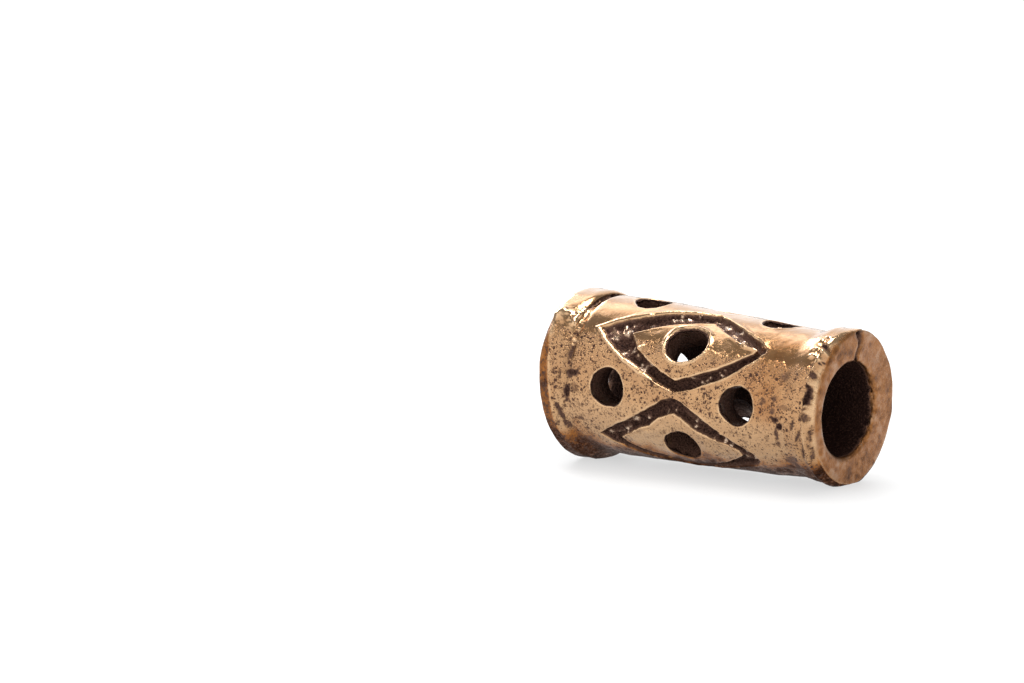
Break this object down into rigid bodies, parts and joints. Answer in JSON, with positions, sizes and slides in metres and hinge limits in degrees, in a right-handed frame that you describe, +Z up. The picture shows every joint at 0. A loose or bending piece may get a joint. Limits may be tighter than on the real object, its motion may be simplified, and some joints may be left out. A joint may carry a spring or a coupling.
{
  "type": "dreadlock bead",
  "caption": "Pierced cast-bronze tube bead for a dreadlock, with diamond grooves, round side holes, a leaning collar at the wide end and a thin rim at the narrow end.",
  "frame": {"origin": "on the bore's axis, midway between the narrow end's face and the furthest point of the wide end's leaning face", "axes": "+X along the bore towards the narrow end's rim, +Z up as the bead lies on its side, -Y the side that the picture shows"},
  "size_m": [0.021, 0.0112, 0.0111],
  "materials": {
    "bronze": "antiqued cast bronze, polished on the high places, dark brown in grooves and holes"
  },
  "bodies": {
    "root": {"bead": "bronze"}
  },
  "joints": []
}
